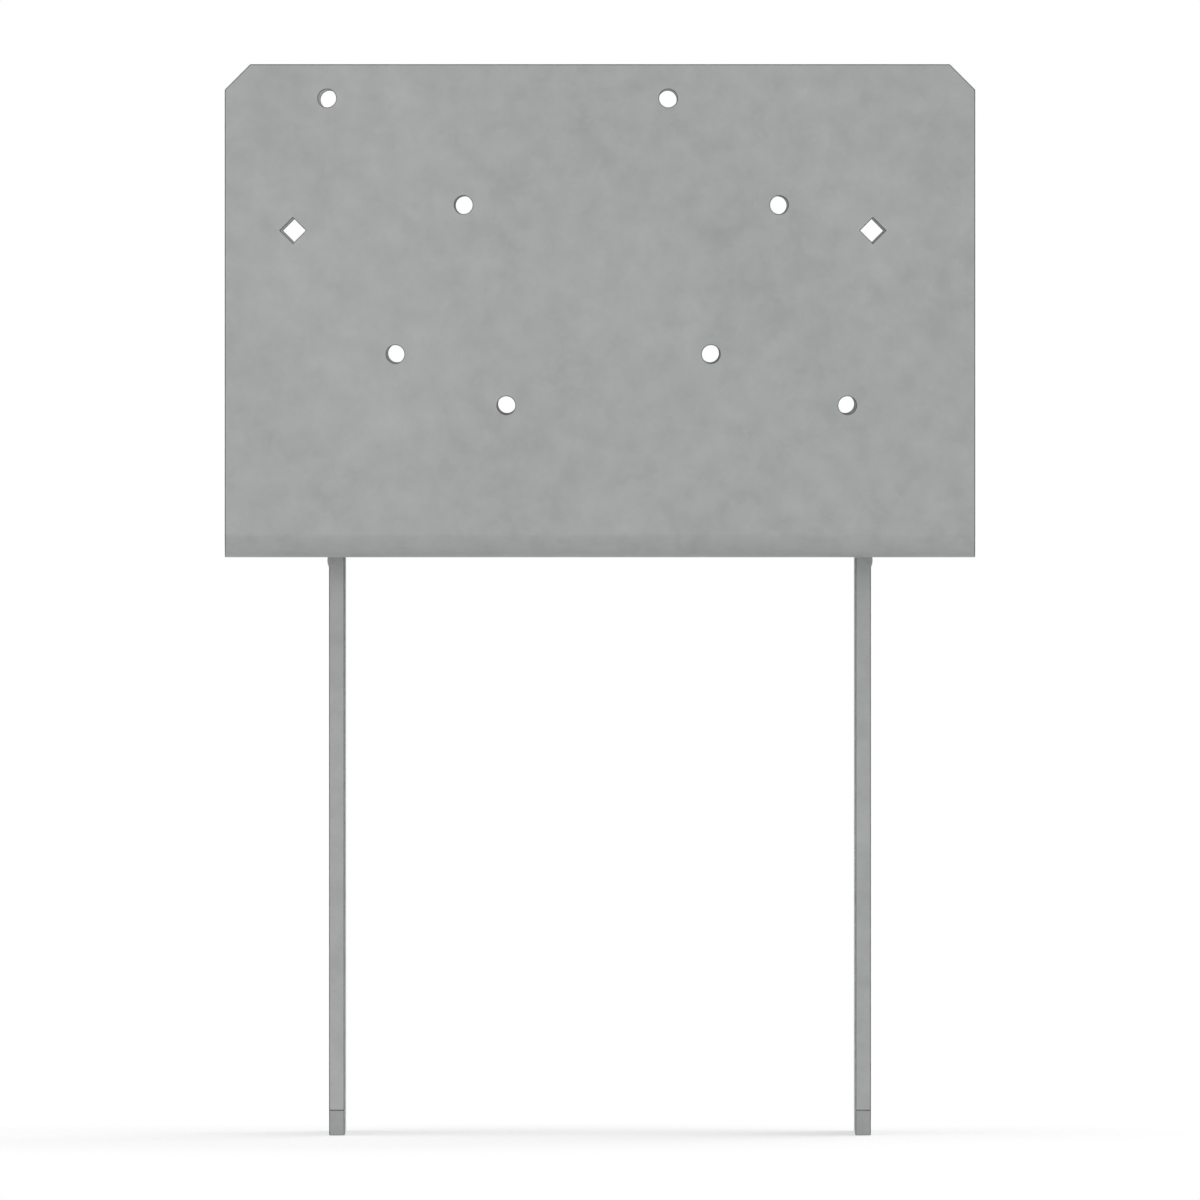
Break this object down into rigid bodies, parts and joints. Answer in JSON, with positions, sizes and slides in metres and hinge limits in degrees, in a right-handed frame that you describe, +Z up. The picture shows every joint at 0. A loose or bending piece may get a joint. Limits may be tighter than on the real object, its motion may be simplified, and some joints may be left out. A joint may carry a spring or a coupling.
{
  "type": "column cap",
  "caption": "Welded galvanised steel column cap: a bent saddle that holds a beam over two straps that hold a post.",
  "frame": {"origin": "middle of the seat, on its top face, where the beam rests", "axes": "+X along the beam, +Y across the beam, +Z up"},
  "size_m": [0.2794, 0.202, 0.3995],
  "materials": {
    "galvanised_steel": "zinc coated plate with a soft grey spangle",
    "zinc_coated_weld": "rippled weld bead under the zinc coat"
  },
  "bodies": {
    "root": {"saddle": "galvanised_steel", "left_post_strap": "galvanised_steel", "right_post_strap": "galvanised_steel", "left_weld_bead": "zinc_coated_weld", "right_weld_bead": "zinc_coated_weld"}
  },
  "joints": []
}
